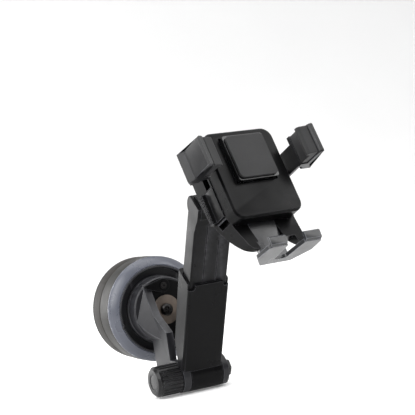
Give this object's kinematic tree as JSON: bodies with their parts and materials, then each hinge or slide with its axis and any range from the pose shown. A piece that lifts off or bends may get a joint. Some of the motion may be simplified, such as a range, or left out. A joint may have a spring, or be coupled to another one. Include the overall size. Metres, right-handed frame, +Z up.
{
  "type": "phone mount",
  "caption": "Windscreen phone mount: twist-lock suction base, hinged telescopic arm, ball joint and a self-closing cradle with padded jaws",
  "frame": {"origin": "centre of the suction face, on the glass", "axes": "+Y into the glass, +Z up, +X along the arm hinge to the right seen from the phone side"},
  "size_m": [0.0961, 0.2376, 0.1709],
  "materials": {
    "grey_shell": "satin grey moulded plastic",
    "black_shell": "fine-grained black moulded plastic",
    "black_gloss": "smooth black plastic",
    "rubber": "matt black rubber",
    "gel": "soft tacky gel sheet",
    "steel": "plain steel",
    "black_screw": "blackened steel",
    "acetal": "natural white acetal"
  },
  "bodies": {
    "base": {"gel_pad": "gel", "suction_cup": "rubber", "base_shell": "grey_shell", "swivel_seat": "black_shell", "seat_screws": "black_screw", "pivot_screw": "black_screw"},
    "ring": {"twist_ring": "grey_shell", "lift_cam": "acetal"},
    "rod": {"pull_rod": "steel"},
    "yoke_body": {"yoke": "black_shell", "pivot_washer": "steel", "swivel_plate": "black_shell", "stop_tab": "black_shell", "tab_screw": "black_screw", "hinge_bolt": "black_screw", "hinge_washers": "steel"},
    "knob_body": {"knob": "black_shell", "knob_nut": "steel", "knob_cap": "black_gloss"},
    "lower_arm": {"outer_sleeve": "black_shell", "detent_spring": "steel"},
    "upper_arm": {"inner_arm": "black_shell", "head_block": "black_shell", "ball_stud": "black_shell", "stud_pin": "steel"},
    "ball_turn": {"ball_liner_inner": "acetal"},
    "ball_tilt": {"ball_liner_outer": "acetal"},
    "cradle": {"socket": "black_shell", "rear_shell": "black_shell", "front_shell": "black_shell", "shell_screws": "black_screw", "socket_screws": "black_screw", "pinion_axle": "steel", "gear_cover": "black_shell", "clamp_springs": "steel", "release_springs": "steel", "trigger_spring": "steel"},
    "nut": {"ring_nut": "black_shell"},
    "jaw_l": {"left_jaw": "black_shell", "left_jaw_pad": "rubber"},
    "jaw_r": {"right_jaw": "black_shell", "right_jaw_pad": "rubber"},
    "gear": {"pinion": "acetal"},
    "trigger_body": {"trigger": "black_gloss", "trigger_pad": "rubber"},
    "release_l": {"left_release": "black_shell"},
    "release_r": {"right_release": "black_shell"},
    "foot_body": {"foot": "black_shell", "foot_pads": "rubber"}
  },
  "joints": [
    {"name": "ring_turn", "type": "hinge", "parent": "base", "child": "ring", "pos_m": [0, 0, 0], "axis": [0, -1, 0], "range_deg": [0, 70]},
    {"name": "cup_pull", "type": "slide", "parent": "base", "child": "rod", "axis": [0, -1, 0], "range_m": [0, 0.0026]},
    {"name": "base_swivel", "type": "hinge", "parent": "base", "child": "yoke_body", "pos_m": [0, 0, 0], "axis": [0, -1, 0], "continuous": true},
    {"name": "knob_turn", "type": "hinge", "parent": "yoke_body", "child": "knob_body", "pos_m": [0, -0.0847, -0.0432], "axis": [-1, 0, 0], "continuous": true},
    {"name": "arm_hinge", "type": "hinge", "parent": "yoke_body", "child": "lower_arm", "pos_m": [0, -0.0847, -0.0432], "axis": [1, 0, 0], "range_deg": [-24, 80]},
    {"name": "arm_slide", "type": "slide", "parent": "lower_arm", "child": "upper_arm", "axis": [0, -0.4695, 0.8829], "range_m": [-0.03, 0.01]},
    {"name": "ball_yaw", "type": "hinge", "parent": "upper_arm", "child": "ball_turn", "pos_m": [0, -0.16196, 0.07654], "axis": [-0.0604, 0.4297, 0.9009], "range_deg": [-28, 8]},
    {"name": "ball_pitch", "type": "hinge", "parent": "ball_turn", "child": "ball_tilt", "pos_m": [0, -0.16196, 0.07654], "axis": [0.9851, 0.1713, -0.0157], "range_deg": [-15, 15]},
    {"name": "cradle_spin", "type": "hinge", "parent": "ball_tilt", "child": "cradle", "pos_m": [0, -0.16196, 0.07654], "axis": [0.1611, -0.8866, 0.4337], "continuous": true},
    {"name": "nut_turn", "type": "hinge", "parent": "cradle", "child": "nut", "pos_m": [0, -0.16196, 0.07654], "axis": [0.1611, -0.8866, 0.4337], "continuous": true},
    {"name": "left_clamp", "type": "slide", "parent": "cradle", "child": "jaw_l", "axis": [-0.9851, -0.1713, 0.0157], "range_m": [-0.008, 0.012]},
    {"name": "right_clamp", "type": "slide", "parent": "cradle", "child": "jaw_r", "axis": [0.9851, 0.1713, -0.0157], "range_m": [-0.008, 0.012]},
    {"name": "pinion_turn", "type": "hinge", "parent": "cradle", "child": "gear", "pos_m": [-0.00036, -0.15938, 0.08195], "axis": [0.1611, -0.8866, 0.4337], "range_deg": [-120, 120]},
    {"name": "trigger_press", "type": "slide", "parent": "cradle", "child": "trigger_body", "axis": [-0.1611, 0.8866, -0.4337], "range_m": [0, 0.0035], "stiffness_N_per_m": 120, "springref_m": -0.0005},
    {"name": "left_press", "type": "slide", "parent": "cradle", "child": "release_l", "axis": [0.9851, 0.1713, -0.0157], "range_m": [0, 0.002], "stiffness_N_per_m": 120, "springref_m": -0.0005},
    {"name": "right_press", "type": "slide", "parent": "cradle", "child": "release_r", "axis": [-0.9851, -0.1713, 0.0157], "range_m": [0, 0.002], "stiffness_N_per_m": 120, "springref_m": -0.0005},
    {"name": "foot_slide", "type": "slide", "parent": "cradle", "child": "foot_body", "axis": [0.0604, -0.4297, -0.9009], "range_m": [0, 0.01]}
  ],
  "couplings": [
    {"joint": "cup_pull", "follows": "ring_turn", "m_per_rad": 0.0020463},
    {"joint": "right_clamp", "follows": "left_clamp", "ratio": 1},
    {"joint": "pinion_turn", "follows": "left_clamp", "rad_per_m": 166.67}
  ]
}
